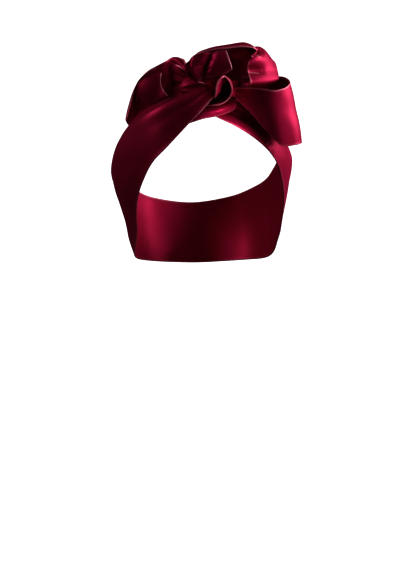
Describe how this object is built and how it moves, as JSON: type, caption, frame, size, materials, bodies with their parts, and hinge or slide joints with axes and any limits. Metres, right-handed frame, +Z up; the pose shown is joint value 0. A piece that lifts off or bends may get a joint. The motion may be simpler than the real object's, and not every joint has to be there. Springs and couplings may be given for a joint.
{
  "type": "satin headband",
  "caption": "Wide satin head wrap tied above the forehead in a bow knot, with an arched loop on top, a hanging side loop and gathered tails.",
  "frame": {"origin": "middle of the hollow for the head, at ear level, where the head holds the wrap up", "axes": "+Z up, -Y towards the face, where the knot is, +X to the right of someone looking at the knot"},
  "size_m": [0.1544, 0.179, 0.2044],
  "materials": {
    "satin": "glossy burgundy satin",
    "knot_satin": "gathered burgundy satin"
  },
  "bodies": {
    "root": {"band": "satin", "front_fold": "satin", "knot": "knot_satin", "knot_loop": "satin", "left_loop": "satin", "left_tail": "satin", "centre_tail": "satin", "crown_loop": "satin", "right_loop": "satin"}
  },
  "joints": []
}
